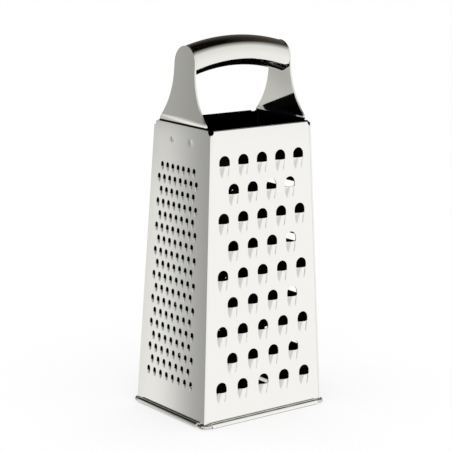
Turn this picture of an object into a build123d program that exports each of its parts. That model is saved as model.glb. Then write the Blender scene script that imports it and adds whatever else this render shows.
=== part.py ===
from build123d import *
import os
from math import asin, atan2, cos, degrees, hypot, sin, sqrt

# Box grater of pressed stainless sheet, about 24 cm tall, in millimetres.
# It stands on Z = 0 with its middle over the origin. The coarse face looks towards -Y and the
# fine face towards -X. Four pressed panels are held by seams along their edges and by a wire
# in their rolled feet, and a hollow arched grip on two side plates is the handle.

# Body
rim_height = 186.0
rim_width = 79.5
rim_depth = 58.4
foot_width = 95.4
foot_depth = 72.8
sheet = 0.6
lap_width = 6.0
lap_clearance = 0.05
bend_radius = 0.4

# Rolled foot and the wire inside it
bead_diameter = 3.6
bead_land = 0.15
bead_setback = 5.0
bead_lip_gap = 0.2
wire_clearance = 0.03
wire_bend_radius = 3.0
wire_sides = 6

# Folded rim and the relief holes at its corners
hem_height = 3.9
hem_inner_radius = 0.25
notch_radius = 2.6
notch_drop = 0.3

# Coarse teeth, in rows of five and four
coarse_rows = 9
coarse_columns = 5
coarse_lowest_blade = 21.7
coarse_top_margin = 21.9
coarse_pitch_share = 0.18
coarse_width = 8.2
coarse_opening = 6.2
coarse_scoop = 8.8
coarse_lift = 2.0
coarse_arch_facets = 6
coarse_back_facets = 4

# Fine teeth, in rows of eight and seven
fine_rows = 18
fine_columns = 8
fine_lowest_blade = 23.9
fine_top_margin = 27.8
fine_pitch_share = 0.0915
fine_offset = 2.2
fine_width = 2.5
fine_opening = 2.8
fine_scoop = 3.4
fine_lift = 0.9

# Rasp burrs, pierced outwards through the rear panel
rasp_rows = 12
rasp_columns = 8
rasp_lowest_burr = 25.0
rasp_top_margin = 29.0
rasp_pitch_share = 0.1
rasp_base = 2.2
rasp_crown = 1.4
rasp_hole_share = 0.65
rasp_lift = 1.1
rasp_sides = 3

# Slicing slots
slicer_rows = 4
slicer_lowest_blade = 34.0
slicer_top_margin = 47.0
slicer_width = 40.0
slicer_opening = 5.5
slicer_corner = 2.0
slicer_scoop = 10.0
slicer_lift = 2.2
slicer_ramp = 3.0

# Handle side plates, measured up from the rim
plate_sheet = 1.2
plate_foot_half_width = 24.3
plate_foot_edge = 2.2
plate_foot_corner = 1.5
plate_neck_rise = 35.0
joggle_height = 3.8
tab_half_width = 21.0
tab_depth = 18.0
tab_corner = 3.0
tab_clearance = 0.05

# Handle grip, a hollow bar on an arch whose top rises this far above the rim
grip_rise = 54.0
grip_camber = 4.8
grip_half_width = 10.6
grip_crown = 10.8
grip_belly = 8.2
grip_spans = 10
grip_crown_facets = 12
grip_belly_facets = 6
grip_wall = 1.0
grip_clearance = 0.05

# Welds
nugget_radius = 2.0
nugget_spacing = 19.0
nugget_drop = 9.7
nugget_dent = 0.2
nugget_clearance = 0.02
nugget_sides = 8
seam_share = 0.6

# How far a cutting shape runs past what it cuts
overrun = 4.0

# Sizes that follow from those above
side_tilt = atan2((foot_width - rim_width) / 2, rim_height)
front_tilt = atan2((foot_depth - rim_depth) / 2, rim_height)
lap_seat = sheet + lap_clearance
outer_bend = bend_radius + sheet
bead_radius = bead_diameter / 2
bead_centre = bead_radius - bead_land
bead_offset = bead_radius - sheet
wire_radius = bead_offset - wire_clearance
corner_height = bead_centre + wire_radius + wire_clearance
hem_middle_radius = hem_inner_radius + sheet / 2
hem_outer_radius = hem_inner_radius + sheet
notch_floor = rim_height - notch_drop - notch_radius
tab_seat = sheet + tab_clearance
grip_seat = plate_sheet + grip_clearance
grip_top = rim_height + grip_rise


def half_width(height):
    """Half of the outer width between the side walls, or their planes, at a height."""
    return (foot_width - (foot_width - rim_width) * height / rim_height) / 2


def half_depth(height):
    """Half of the outer depth between the front and rear walls at a height."""
    return (foot_depth - (foot_depth - rim_depth) * height / rim_height) / 2


grip_half_span = half_width(grip_top) - grip_seat
arch_radius = (grip_half_span**2 + grip_camber**2) / (2 * grip_camber)
arch_axis = grip_top - arch_radius


def face_plane(outward, half, tilt):
    """The outer plane of a wall, with X along it, Y up its slope and Z outwards."""
    across = Vector(0, 0, 1).cross(outward)
    return Plane(outward * half, x_dir=across, z_dir=outward * cos(tilt) + Vector(0, 0, sin(tilt)))


front_face = face_plane(Vector(0, -1, 0), half_depth(0), front_tilt)
rear_face = face_plane(Vector(0, 1, 0), half_depth(0), front_tilt)
left_face = face_plane(Vector(-1, 0, 0), half_width(0), side_tilt)
right_face = face_plane(Vector(1, 0, 0), half_width(0), side_tilt)
side_rim = rim_height / cos(side_tilt)
front_rim = rim_height / cos(front_tilt)


def band(plane, half, tilt, first, second, low, high):
    """A prism between two sloping lines, each a side, -1 or 1, and an inset from that wall."""
    def across(line, height):
        side, inset = line
        return side * (half(height) - inset / cos(tilt))

    outline = Polyline(
        (across(first, low), low),
        (across(second, low), low),
        (across(second, high), high),
        (across(first, high), high),
        close=True,
    )
    return extrude(plane * make_face(outline), foot_width + foot_depth, both=True)


def block(left, right, front, rear, low, high):
    """A tapered block whose four walls follow the body's, each a side and an inset."""
    along = band(Plane.XZ, half_width, side_tilt, left, right, low, high)
    return along & band(Plane.YZ, half_depth, front_tilt, front, rear, low, high)


def rolled_foot(tilt, length):
    """The foot of a panel, rolled outwards until its lip nearly meets the wall again."""
    centre = (bead_centre - bead_offset * sin(tilt)) / cos(tilt)
    lip = degrees(asin((bead_offset - bead_lip_gap) / bead_radius))
    strip = Line(((corner_height + sheet) / cos(tilt), -sheet / 2), (centre, -sheet / 2))
    roll = CenterArc((centre, bead_offset), bead_radius - sheet / 2, -lip, 270 + lip)
    return extrude(Plane.YZ * trace(Curve() + [strip, roll], sheet), length / 2, both=True)


def folded_rim(rim, length):
    """The top edge of a wide panel, folded inwards and down."""
    fold = rim - hem_outer_radius
    flap_depth = sheet / 2 + 2 * hem_middle_radius
    strip = Line((fold - sheet, -sheet / 2), (fold, -sheet / 2))
    turn = CenterArc((fold, -sheet / 2 - hem_middle_radius), hem_middle_radius, -90, 180)
    flap = Line((fold, -flap_depth), (rim - hem_height, -flap_depth))
    return extrude(Plane.YZ * trace(Curve() + [strip, turn, flap], sheet), length / 2, both=True)


def relief_holes(rim, half):
    """Round holes that clear the two top corners of a panel."""
    hole = Cylinder(notch_radius, foot_depth / 2)
    return [Pos(side * half, rim - notch_drop, 0) * hole for side in (-1, 1)]


def wide_panel(face, side):
    """A front or rear panel with a lap flange along each edge, before its teeth are pressed."""
    def uprights(shape):
        steep = shape.edges().filter_by(lambda e: abs(e.tangent_at(0).Z) > cos(side_tilt + front_tilt))
        return steep.sort_by(lambda e: -side * e.center().Y)

    top = rim_height - hem_outer_radius
    skin = block((-1, lap_seat), (1, lap_seat), (side, 0), (side, lap_width), corner_height, top)
    hollow = block((-1, lap_seat + sheet), (1, lap_seat + sheet), (side, sheet),
                   (side, lap_width + overrun), 0, rim_height + overrun)
    panel = skin - hollow
    panel = fillet(uprights(panel)[2:4], bend_radius)
    panel = fillet(uprights(panel)[:2], outer_bend)
    foot = rolled_foot(front_tilt, 2 * (half_width(bead_centre) - bead_setback))
    rim = folded_rim(front_rim, 2 * (half_width(rim_height) - notch_radius / 2))
    panel = panel + [face.location * foot, face.location * rim]
    panel = panel - [face.location * hole for hole in relief_holes(front_rim, half_width(rim_height))]
    return split(panel, bisect_by=Plane.XY, keep=Keep.TOP)


def side_panel(face, side):
    """A left or right panel, flush with the wide panels, before its teeth are pressed."""
    panel = block((side, 0), (side, sheet), (-1, 0), (1, 0), corner_height, rim_height)
    foot = rolled_foot(side_tilt, 2 * (half_depth(bead_centre) - bead_setback))
    panel = panel + face.location * foot
    panel = panel - [face.location * hole for hole in relief_holes(side_rim, half_depth(rim_height))]
    return split(panel, bisect_by=Plane.XY, keep=Keep.TOP)


def crest_rise(scoop, lift):
    """Height of a cutter's ridge square to its back, which stands `lift` proud at the blade."""
    return lift * cos(atan2(lift, scoop))


def tooth(crest, opening, scoop, lift):
    """One cutter with its blade at the origin, as the bump it raises and the hole it opens.

    The crest is a cut square across the back of the cutter. From the blade the back runs down
    into the wall, and the sheet under it keeps its thickness.
    """
    slope = Vector(0, -scoop, -lift).normalized()
    back = crest_rise(scoop, lift) * lift / scoop
    reach = back + hypot(scoop, lift) * (lift + sheet) / lift

    def run(depth):
        start, end = crest @ 0, crest @ 1
        legs = Polyline(end, (end.X, -depth), (start.X, -depth), start)
        section = Plane(slope * -back, x_dir=(1, 0, 0), z_dir=slope) * make_face(Curve() + [crest, legs])
        return extrude(section, reach)

    bump = split(run(sheet), bisect_by=Plane.XZ, keep=Keep.TOP)
    bump = split(bump, bisect_by=Plane((0, 0, -sheet / 2)), keep=Keep.TOP)
    return bump, Pos(0, 0, -sheet) * run(lift + sheet) + extrude(opening, lift + sheet, both=True)


def facets(curve, count):
    """A curve as a number of straight facets."""
    return Polyline(*[curve @ (step / count) for step in range(count + 1)])


def coarse_tooth():
    """A round-backed cutter with a blade straight across a round-topped opening."""
    half = coarse_width / 2
    back = ThreePointArc((-half, 0), (0, crest_rise(coarse_scoop, coarse_lift)), (half, 0))
    shoulder = coarse_opening - half
    sides = Polyline((-half, shoulder), (-half, 0), (half, 0), (half, shoulder))
    arch = facets(CenterArc((0, shoulder), half, 0, 180), coarse_arch_facets)
    opening = make_face(Curve() + [sides, arch])
    return tooth(facets(back, coarse_back_facets), opening, coarse_scoop, coarse_lift)


def fine_tooth():
    """A small cutter with a ridged back and a pointed opening."""
    half = fine_width / 2
    crest = Polyline((-half, 0), (0, crest_rise(fine_scoop, fine_lift)), (half, 0))
    shoulder = fine_opening - half
    opening = Polyline(
        (-half, 0), (half, 0), (half, shoulder), (0, fine_opening), (-half, shoulder), close=True
    )
    return tooth(crest, make_face(opening), fine_scoop, fine_lift)


def slicing_slot():
    """A wide slicing slot with its blade raised along a long ramp."""
    half = slicer_width / 2
    rise = crest_rise(slicer_scoop, slicer_lift)
    crest = Polyline((-half, 0), (slicer_ramp - half, rise), (half - slicer_ramp, rise), (half, 0))
    opening = Pos(0, slicer_opening / 2) * Rectangle(slicer_width, slicer_opening)
    opening = fillet(opening.vertices().group_by(Axis.Y)[-1], slicer_corner)
    return tooth(crest, opening, slicer_scoop, slicer_lift)


def rasp_burr():
    """A three-sided burr pierced outwards, as the cone it raises and the hole it opens."""
    def cone(base, crown, bottom):
        taper = degrees(atan2((base - crown) / 2, rasp_lift - bottom))
        outline = RegularPolygon(base / 2, rasp_sides, major_radius=False, rotation=90)
        return extrude(Plane((0, 0, bottom)) * outline, rasp_lift - bottom, taper=taper)

    return cone(rasp_base, rasp_crown, 0), cone(rasp_base, rasp_crown * rasp_hole_share, -sheet)


def row_heights(rows, lowest, top_margin):
    """Heights of evenly spaced rows, the highest of them a margin below the rim."""
    pitch = (rim_height - top_margin - lowest) / max(rows - 1, 1)
    return [lowest + row * pitch for row in range(rows)]


def staggered(heights, columns, pitch_share, half, offset=0):
    """Places in rows of N and N - 1 that fan out with the width of the wall."""
    for row, up in enumerate(heights):
        count = columns - row % 2
        pitch = pitch_share * 2 * half(up)
        for column in range(count):
            yield offset + (column - (count - 1) / 2) * pitch, up


def pressed(panel, face, cutter, places):
    """A panel with copies of one cutter pressed out of it and their holes opened."""
    bump, hole = cutter
    seats = [face.location * Pos(across, up, 0) for across, up in places]
    return panel + [seat * bump for seat in seats] - [seat * hole for seat in seats]


def nugget_seats(face):
    """Where the two welds of one handle plate lie on a side wall."""
    up = side_rim - nugget_drop
    return [face.location * Pos(side * nugget_spacing / 2, up, 0) for side in (-1, 1)]


def handle_plate(face):
    """A side plate, joggled inwards at the rim, with a tab welded inside the wall."""
    neck = side_rim + plate_neck_rise
    crown = (arch_axis + sqrt(arch_radius**2 - grip_half_span**2)) / cos(side_tilt)
    widest = (arch_axis + sqrt((arch_radius - grip_crown) ** 2 - grip_half_span**2)) / cos(side_tilt)
    fold = side_rim + joggle_height
    outer = -plate_sheet / 2
    inner = outer - tab_seat
    tab_end = side_rim - tab_depth
    bend_line = Polyline((crown + overrun, outer), (fold, outer), (side_rim, inner), (tab_end, inner))
    strip = extrude(Plane.YZ * trace(bend_line, plate_sheet), plate_foot_half_width + overrun, both=True)

    foot_top = side_rim + plate_foot_edge
    edge = Polyline(
        (0, tab_end),
        (tab_half_width, tab_end),
        (tab_half_width, side_rim),
        (plate_foot_half_width, side_rim),
        (plate_foot_half_width, foot_top),
    )
    edge = FilletPolyline(*edge.vertices(), radius=[tab_corner, 0, plate_foot_corner])
    flare = TangentArc((grip_half_width, neck), (plate_foot_half_width, foot_top), tangent=(0, -1))
    shank = Line((grip_half_width, neck), (grip_half_width, widest))
    dome = EllipticalCenterArc((0, widest), grip_half_width, crown - widest, arc_size=90)
    half = Curve() + [edge, flare, shank, dome]
    outline = make_face(half + mirror(half, Plane.YZ))
    plate = face.location * (strip & extrude(outline, overrun, both=True))
    return plate - [seat * nugget_bore for seat in nugget_seats(face)]


def handle_grip():
    """The hollow grip, domed above and flatter below, cut off at the two side plates."""
    def bar(wall):
        half = grip_half_width - wall
        middle = (0, arch_radius - grip_crown)
        crown = EllipticalCenterArc(middle, half, grip_crown - wall, arc_size=180)
        belly = EllipticalCenterArc(middle, half, grip_belly - wall, 180, arc_size=180)
        rounds = [facets(crown, grip_crown_facets), facets(belly, grip_belly_facets)]
        section = Plane.YZ * make_face(Curve() + rounds)
        swing = degrees(asin((grip_half_span + overrun) / (arch_radius - grip_crown - grip_belly)))
        stations = [swing * (2 * step / grip_spans - 1) for step in range(grip_spans + 1)]
        return Pos(0, 0, arch_axis) * loft([Rot(0, turn, 0) * section for turn in stations], ruled=True)

    between = band(Plane.XZ, half_width, side_tilt, (-1, grip_seat), (1, grip_seat), rim_height,
                   grip_top + overrun)
    return (bar(0) - bar(grip_wall)) & between


def base_wire():
    """The wire ring that lies in the four rolled feet and shows at the corners."""
    half_x = half_width(bead_centre) + bead_offset / cos(side_tilt)
    half_y = half_depth(bead_centre) + bead_offset / cos(front_tilt)
    path = Pos(0, 0, bead_centre) * RectangleRounded(2 * half_x, 2 * half_y, wire_bend_radius).wire()
    return sweep(Plane(path @ 0, z_dir=path % 0) * RegularPolygon(wire_radius, wire_sides), path)


def corner_seams(blanks):
    """Seam welds that fill the groove between each side wall's edge and a wide panel's bend."""
    reach = lap_seat + seam_share * outer_bend
    seams = []
    for depth_side, blank in zip((-1, 1), blanks):
        for side in (-1, 1):
            seam = block((side, sheet), (side, reach), (depth_side, 0), (depth_side, outer_bend),
                         corner_height, notch_floor)
            seams += (seam - blank).solids()
    return Compound(children=seams)


def handle_nuggets():
    """The weld nuggets that hold each handle plate's tab inside its side wall."""
    through = tab_seat + plate_sheet - nugget_dent
    nugget = extrude(Plane((0, 0, -nugget_dent)) * RegularPolygon(nugget_radius, nugget_sides), -through)
    seats = nugget_seats(left_face) + nugget_seats(right_face)
    return Compound(children=[seat * nugget for seat in seats])


def write(name, shape):
    """Save one named piece."""
    export_step(shape, os.path.join("parts", name + ".step"))


os.makedirs("parts", exist_ok=True)

nugget_bore = extrude(RegularPolygon(nugget_radius + nugget_clearance, nugget_sides), overrun, both=True)
front_blank = wide_panel(front_face, -1)
rear_blank = wide_panel(rear_face, 1)
left_blank = side_panel(left_face, -1) - [seat * nugget_bore for seat in nugget_seats(left_face)]
right_blank = side_panel(right_face, 1) - [seat * nugget_bore for seat in nugget_seats(right_face)]

coarse_heights = row_heights(coarse_rows, coarse_lowest_blade, coarse_top_margin)
fine_heights = row_heights(fine_rows, fine_lowest_blade, fine_top_margin)
rasp_heights = row_heights(rasp_rows, rasp_lowest_burr, rasp_top_margin)
slicer_heights = row_heights(slicer_rows, slicer_lowest_blade, slicer_top_margin)
coarse_places = staggered(coarse_heights, coarse_columns, coarse_pitch_share, half_width)
fine_places = staggered(fine_heights, fine_columns, fine_pitch_share, half_depth, -fine_offset)
rasp_places = staggered(rasp_heights, rasp_columns, rasp_pitch_share, half_width)
slicer_places = [(0, up) for up in slicer_heights]

write("coarse_panel", pressed(front_blank, front_face, coarse_tooth(), coarse_places))
write("fine_panel", pressed(left_blank, left_face, fine_tooth(), fine_places))
write("rasp_panel", pressed(rear_blank, rear_face, rasp_burr(), rasp_places))
write("slicer_panel", pressed(right_blank, right_face, slicing_slot(), slicer_places))
write("base_wire", base_wire())
write("corner_seam_welds", corner_seams((front_blank, rear_blank)))
write("left_handle_plate", handle_plate(left_face))
write("right_handle_plate", handle_plate(right_face))
write("handle_grip", handle_grip())
write("handle_spot_welds", handle_nuggets())
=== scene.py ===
import logging
import math
from dataclasses import dataclass, field
from enum import Enum, IntEnum

import bmesh
import bpy
import numpy as np
from mathutils import Matrix, Vector


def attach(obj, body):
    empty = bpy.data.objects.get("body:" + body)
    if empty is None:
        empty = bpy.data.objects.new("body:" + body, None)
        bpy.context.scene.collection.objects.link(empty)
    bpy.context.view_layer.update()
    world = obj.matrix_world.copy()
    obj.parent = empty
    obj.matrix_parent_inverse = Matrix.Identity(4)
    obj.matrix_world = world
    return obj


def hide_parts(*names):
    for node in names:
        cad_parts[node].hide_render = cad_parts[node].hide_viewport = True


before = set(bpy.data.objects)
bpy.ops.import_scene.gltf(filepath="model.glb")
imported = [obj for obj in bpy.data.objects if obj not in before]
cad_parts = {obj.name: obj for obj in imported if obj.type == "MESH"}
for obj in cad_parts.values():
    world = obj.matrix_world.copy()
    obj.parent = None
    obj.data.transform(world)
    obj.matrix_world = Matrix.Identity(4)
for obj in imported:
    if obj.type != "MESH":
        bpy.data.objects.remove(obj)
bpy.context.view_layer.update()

# A box grater of pressed stainless sheet. Every size here is in millimetres, and the mesh maker
# turns millimetres into the frame's metres.
MM = 0.001
WELD_DISTANCE = 0.002
# Edges that turn by more than this stay sharp.
CREASE_DEGREES = 32.0
# How far apart two places are where a cutter's slope is measured.
SLOPE_STEP = 0.01
log = logging.getLogger("box_grater")

Array = np.ndarray
Profile = tuple[Array, Array]
Triple = tuple[float, float, float]


def linear(colour: str) -> tuple[float, float, float, float]:
    """Turn an sRGB hex colour into the linear values that a shader takes.

    Args:
        colour: Six hex digits after a hash sign.

    Returns:
        Linear red, green, blue and an alpha of one.
    """
    channels = [int(colour[start:start + 2], 16) / 255 for start in (1, 3, 5)]
    bent = [c / 12.92 if c <= 0.04045 else ((c + 0.055) / 1.055) ** 2.4 for c in channels]
    return (bent[0], bent[1], bent[2], 1.0)


def empty_tree(owner: bpy.types.Material | bpy.types.World) -> bpy.types.NodeTree:
    """Turn on the nodes of a material or world, and hand back its tree with nothing in it."""
    owner.use_nodes = True
    owner.node_tree.nodes.clear()
    return owner.node_tree


def add_node(tree: bpy.types.NodeTree, kind: str, inputs: dict | None = None,
             links: dict | None = None, **settings: object) -> bpy.types.Node:
    """Add one node to a material or world.

    Args:
        tree: The tree that takes the node.
        kind: The node's type name.
        inputs: Values for its input sockets, by name or number.
        links: Output sockets that feed its input sockets, by name or number.
        settings: The node's own properties.

    Returns:
        The new node.
    """
    node = tree.nodes.new(kind)
    for name, value in settings.items():
        setattr(node, name, value)
    for name, value in (inputs or {}).items():
        node.inputs[name].default_value = value
    for name, source in (links or {}).items():
        tree.links.new(source, node.inputs[name])
    return node


def smooth_step(share: Array) -> Array:
    """Rise from zero to one with level ends: three squares less two cubes of the share."""
    held = np.clip(share, 0, 1)
    return held * held * (3 - 2 * held)


def around(right: Array, left: Array) -> Array:
    """Carry the right half of a set of rings on round the left half, back to the start."""
    return np.concatenate([right, left[:, -2::-1]], axis=1)


class Finish(IntEnum):
    """The material slots of a sheet piece: polished steel, and a near-black painted shade for the
    inner faces, cut edges and joggles.
    """

    POLISHED = 0
    PAINTED_SHADE = 1


class SheetMesh:
    """Grids of points in millimetres, joined edge to edge into one closed mesh."""

    def __init__(self) -> None:
        """Start with no grids."""
        self._points: list[Array] = []
        self._quads: list[Array] = []
        self._finishes: list[Array] = []
        self._count = 0

    def add(self, grid: Array, flip: bool = False, finish: Finish = Finish.POLISHED) -> None:
        """Add a grid whose faces look along its columns crossed with its rows.

        Args:
            grid: Points, with the shape rows, columns, three.
            flip: Turn the faces to look the other way.
            finish: The material slot of these faces.
        """
        rows, columns = grid.shape[:2]
        index = self._count + np.arange(rows * columns).reshape(rows, columns)
        corners = [index[:-1, :-1], index[:-1, 1:], index[1:, 1:], index[1:, :-1]]
        quads = np.stack(corners[::-1] if flip else corners, axis=-1).reshape(-1, 4)
        self._quads.append(quads)
        self._finishes.append(np.full(len(quads), int(finish)))
        self._points.append(grid.reshape(-1, 3))
        self._count += rows * columns

    def wall(self, first: Array, second: Array, flip: bool = False,
             finish: Finish = Finish.POLISHED) -> None:
        """Close the gap between two lines of points with one row of faces."""
        self.add(np.stack([first, second]), flip, finish)

    def build(self, name: str) -> bpy.types.Object:
        """Make the object, with shared edges welded and its sharp edges marked.

        Args:
            name: The piece's name.

        Returns:
            The new object, linked to the scene.
        """
        mesh = bpy.data.meshes.new(name)
        mesh.from_pydata(np.concatenate(self._points) * MM, [], np.concatenate(self._quads))
        slots = np.concatenate(self._finishes).astype(np.int32)
        mesh.polygons.foreach_set("material_index", slots)
        shape = bmesh.new()
        shape.from_mesh(mesh)
        bmesh.ops.remove_doubles(shape, verts=shape.verts, dist=WELD_DISTANCE * MM)
        shape.to_mesh(mesh)
        shape.free()
        mesh.shade_smooth()
        mesh.set_sharp_from_angle(angle=math.radians(CREASE_DEGREES))
        piece = bpy.data.objects.new(name, mesh)
        bpy.context.scene.collection.objects.link(piece)
        return piece


@dataclass(frozen=True)
class BodySizes:
    """The tapered body that the four walls share."""

    rim_height: float = 186.0
    rim_width: float = 79.5
    rim_depth: float = 58.4
    foot_width: float = 95.4
    foot_depth: float = 72.8
    sheet: float = 0.6
    bead_radius: float = 1.8
    bead_centre: float = 1.65
    bead_lip_gap: float = 0.2
    wire_radius: float = 1.17
    wire_clearance: float = 0.03

    @property
    def side_tilt(self) -> float:
        """Lean of the left and right walls."""
        return math.atan2((self.foot_width - self.rim_width) / 2, self.rim_height)

    @property
    def front_tilt(self) -> float:
        """Lean of the front and rear walls."""
        return math.atan2((self.foot_depth - self.rim_depth) / 2, self.rim_height)

    @property
    def corner_height(self) -> float:
        """Where the sheet ends above the wire at the four corners."""
        return self.bead_centre + self.wire_radius + self.wire_clearance

    @property
    def bead_offset(self) -> float:
        """How far the wire's middle stands out from a wall."""
        return self.bead_radius - self.sheet

    def half_width(self, height: Array | float) -> Array | float:
        """Half of the width between the left and right walls at a height."""
        taper = self.foot_width - self.rim_width
        return (self.foot_width - taper * height / self.rim_height) / 2

    def half_depth(self, height: Array | float) -> Array | float:
        """Half of the depth between the front and rear walls at a height."""
        taper = self.foot_depth - self.rim_depth
        return (self.foot_depth - taper * height / self.rim_height) / 2


class Side(Enum):
    """The four walls, by the way they look."""

    FRONT = (0.0, -1.0)
    REAR = (0.0, 1.0)
    LEFT = (-1.0, 0.0)
    RIGHT = (1.0, 0.0)


class Wall:
    """The outer plane of one wall, with u across it, v up its slope and w outwards."""

    def __init__(self, body: BodySizes, side: Side) -> None:
        """Work out the plane.

        Args:
            body: The body's sizes.
            side: Which wall it is.
        """
        self.body = body
        self.wide = side in (Side.FRONT, Side.REAR)
        tilt = body.front_tilt if self.wide else body.side_tilt
        outward = np.array([*side.value, 0.0])
        self.tilt = tilt
        self.across = np.cross([0.0, 0.0, 1.0], outward)
        self.normal = outward * math.cos(tilt) + np.array([0.0, 0.0, math.sin(tilt)])
        self.up = np.cross(self.normal, self.across)
        self.origin = outward * (body.foot_depth if self.wide else body.foot_width) / 2
        self.rim = body.rim_height / math.cos(tilt)

    def half(self, v: Array | float) -> Array | float:
        """Half of the wall's own width at a place up its slope."""
        height = np.asarray(v) * math.cos(self.tilt)
        return self.body.half_width(height) if self.wide else self.body.half_depth(height)

    def place(self, u: Array | float, v: Array | float, w: Array | float) -> Array:
        """Turn places on the wall into points of the frame.

        A point is the origin plus u, v and w times the plane's three directions.

        Args:
            u: Places across the wall.
            v: Places up its slope.
            w: Places outwards from its plane.

        Returns:
            The points, with one more dimension than the places.
        """
        u, v, w = np.broadcast_arrays(*(np.asarray(part, float) for part in (u, v, w)))
        return (self.origin + u[..., None] * self.across + v[..., None] * self.up
                + w[..., None] * self.normal)


class Crest(Enum):
    """The line that a blade makes, seen from in front of the wall's foot."""

    ROUND = "round"
    LEVEL = "level"


@dataclass(frozen=True)
class Scoop:
    """A cutter pressed outwards: a blade over an opening, and a scoop that runs down to a toe."""

    width: float
    opening: float
    corner: float
    length: float
    lift: float
    crest: Crest = Crest.ROUND
    ramp: float = 1.0
    crease: float = 0.15
    collar: float = 0.3
    toe: float = 0.7
    fade: float = 1.0
    columns: int = 8
    arch_steps: int = 5
    outline_steps: int = 6
    top_share: float = 0.36
    turn_share: float = 0.5
    back_power: float = 1.25
    taper: float = 0.66
    run_on: float = 1.2
    side_dip: float = 0.25
    ring_shares: tuple[float, ...] = (0.0, 0.15, 0.3, 0.5, 0.65, 0.8, 0.88, 0.94, 1.0, 1.05)

    @property
    def reach(self) -> tuple[float, float]:
        """How far the collar goes below and above the blade."""
        return self.length + self.toe, self.opening + self.collar

    def rise(self, x: Array, y: Array) -> Array:
        """How far the sheet stands proud of the wall.

        A round scoop is a parabola across its outline, whose height falls by a power of the way
        down its length, and it dips on past both. A level one is the crest's height less the way
        down. A small parabola rounds the line where that meets the wall, and above the blade it
        fades out.

        Args:
            x: Places across the cutter.
            y: Places above the blade.

        Returns:
            The height over the wall.
        """
        run = np.clip(-y / self.length, 0, self.run_on)
        if self.crest is Crest.ROUND:
            side = 1 - (x / self._outline(run)) ** 2
            down = 1 - run**self.back_power
            beside = np.where(side < 0, np.maximum(down, self.side_dip), down) * side
            raw = self.lift * np.minimum(beside, down)
        else:
            raw = self.lift * (self._crest_share(2 * x / self.width) - run)
        foot = np.maximum(raw + self.crease, 0) ** 2 / (4 * self.crease)
        return np.where(raw < self.crease, foot, raw) * smooth_step(1 - y / self.fade)

    def _crest_share(self, across: Array) -> Array:
        """A level blade's height as a share of its lift: flat, with a ramp down at each end."""
        return np.minimum(1, (1 - np.abs(across)) * self.width / 2 / self.ramp)

    def _outline(self, run: Array) -> Array:
        """Half width of a round scoop at a share of its length: a parabola with a blunt toe."""
        return self.width / 2 * (1 - self.taper * np.minimum(run, 1) ** 2)

    def _drop(self, across: Array) -> Array:
        """Share of the scoop's length where its outline has narrowed to a share of its width."""
        if self.crest is Crest.LEVEL:
            return self._crest_share(across)
        return np.sqrt(np.minimum((1 - np.abs(across)) / self.taper, 1))

    def _arch(self, share: Array, grow: float) -> Profile:
        """The opening's upper edge from its top to the blade's end: flat, quarter round, straight.

        Args:
            share: Shares of the way along the edge.
            grow: How far outside the opening's own edge it runs.

        Returns:
            Places across and above the blade.
        """
        half = self.width / 2 + grow
        corner = self.corner + grow
        leg = self.opening + grow - corner
        flat = half - corner
        turn = corner * math.pi / 2
        run = share * (flat + turn + leg)
        angle = np.clip((run - flat) / corner, 0, math.pi / 2)
        x = np.minimum(run, flat) + corner * np.sin(angle)
        y = leg + corner * np.cos(angle) - np.clip(run - flat - turn, 0, None)
        return x, y

    def rings(self) -> Profile:
        """Rings that run from the opening's edge out to a collar on the flat wall.

        Each ring is a share of the way from the opening's edge to the collar, which follows the
        arch above the blade and the scoop's outline below it.

        Returns:
            Places across and above the blade, with the shape rings, points around.
        """
        columns = self.columns // 2 + 1
        arch = np.concatenate([np.linspace(0, self.top_share, columns),
                               np.linspace(self.top_share, 1, self.arch_steps + 1)[1:]])
        line = np.concatenate([np.linspace(1, self.turn_share, self.outline_steps + 1)[1:],
                               np.linspace(self.turn_share, 0, columns)[1:]])
        inner = self._arch(arch, 0.0)
        outer = self._arch(arch, self.collar)
        half = self.width / 2
        drop = (self.length + self.toe) * self._drop(line)
        edge = np.array([np.append(inner[0], half * line), np.append(inner[1], 0 * line)])
        collar = np.array([np.append(outer[0], (half + self.collar) * line),
                           np.append(outer[1], -drop)])
        shares = np.array(self.ring_shares)[:, None]
        x, y = ((1 - shares) * edge[axis] + shares * collar[axis] for axis in (0, 1))
        return around(x, -x), around(y, y)


@dataclass(frozen=True)
class RoundForm:
    """A round form in the sheet, in circles from its inner edge out to its base."""

    inner: float
    base: float
    columns: int
    steps: int
    ring_shares: tuple[float, ...]

    @property
    def reach(self) -> tuple[float, float]:
        """How far the base goes below and above the middle."""
        return self.base, self.base

    def rings(self) -> Profile:
        """Circles from the inner edge out to the base, in the order of the scoop's rings."""
        turn = np.linspace(0, math.pi, self.columns + self.steps + 1)
        radius = self.inner + (self.base - self.inner) * np.array(self.ring_shares)[:, None]
        right, up = radius * np.sin(turn), radius * np.cos(turn)
        return around(right, -right), around(up, up)


@dataclass(frozen=True)
class Burr(RoundForm):
    """A small crater pierced outwards, whose torn crown stands up in points."""

    inner: float = 0.75
    base: float = 1.35
    columns: int = 4
    steps: int = 4
    ring_shares: tuple[float, ...] = (0.0, 0.35, 0.65, 0.85, 1.0, 1.1)
    lift: float = 1.05
    steepening: float = 1.6
    torn_share: float = 0.35
    points: int = 4

    def rise(self, x: Array, y: Array) -> Array:
        """Height over the wall: a cone that steepens inwards, with a torn crown of sine points."""
        out = np.clip((np.hypot(x, y) - self.inner) / (self.base - self.inner), 0, 1)
        torn = 1 - self.torn_share * (0.5 + 0.5 * np.cos(self.points * np.arctan2(x, y)))
        return self.lift * (1 - out) ** self.steepening * (torn + (1 - torn) * out)


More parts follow.
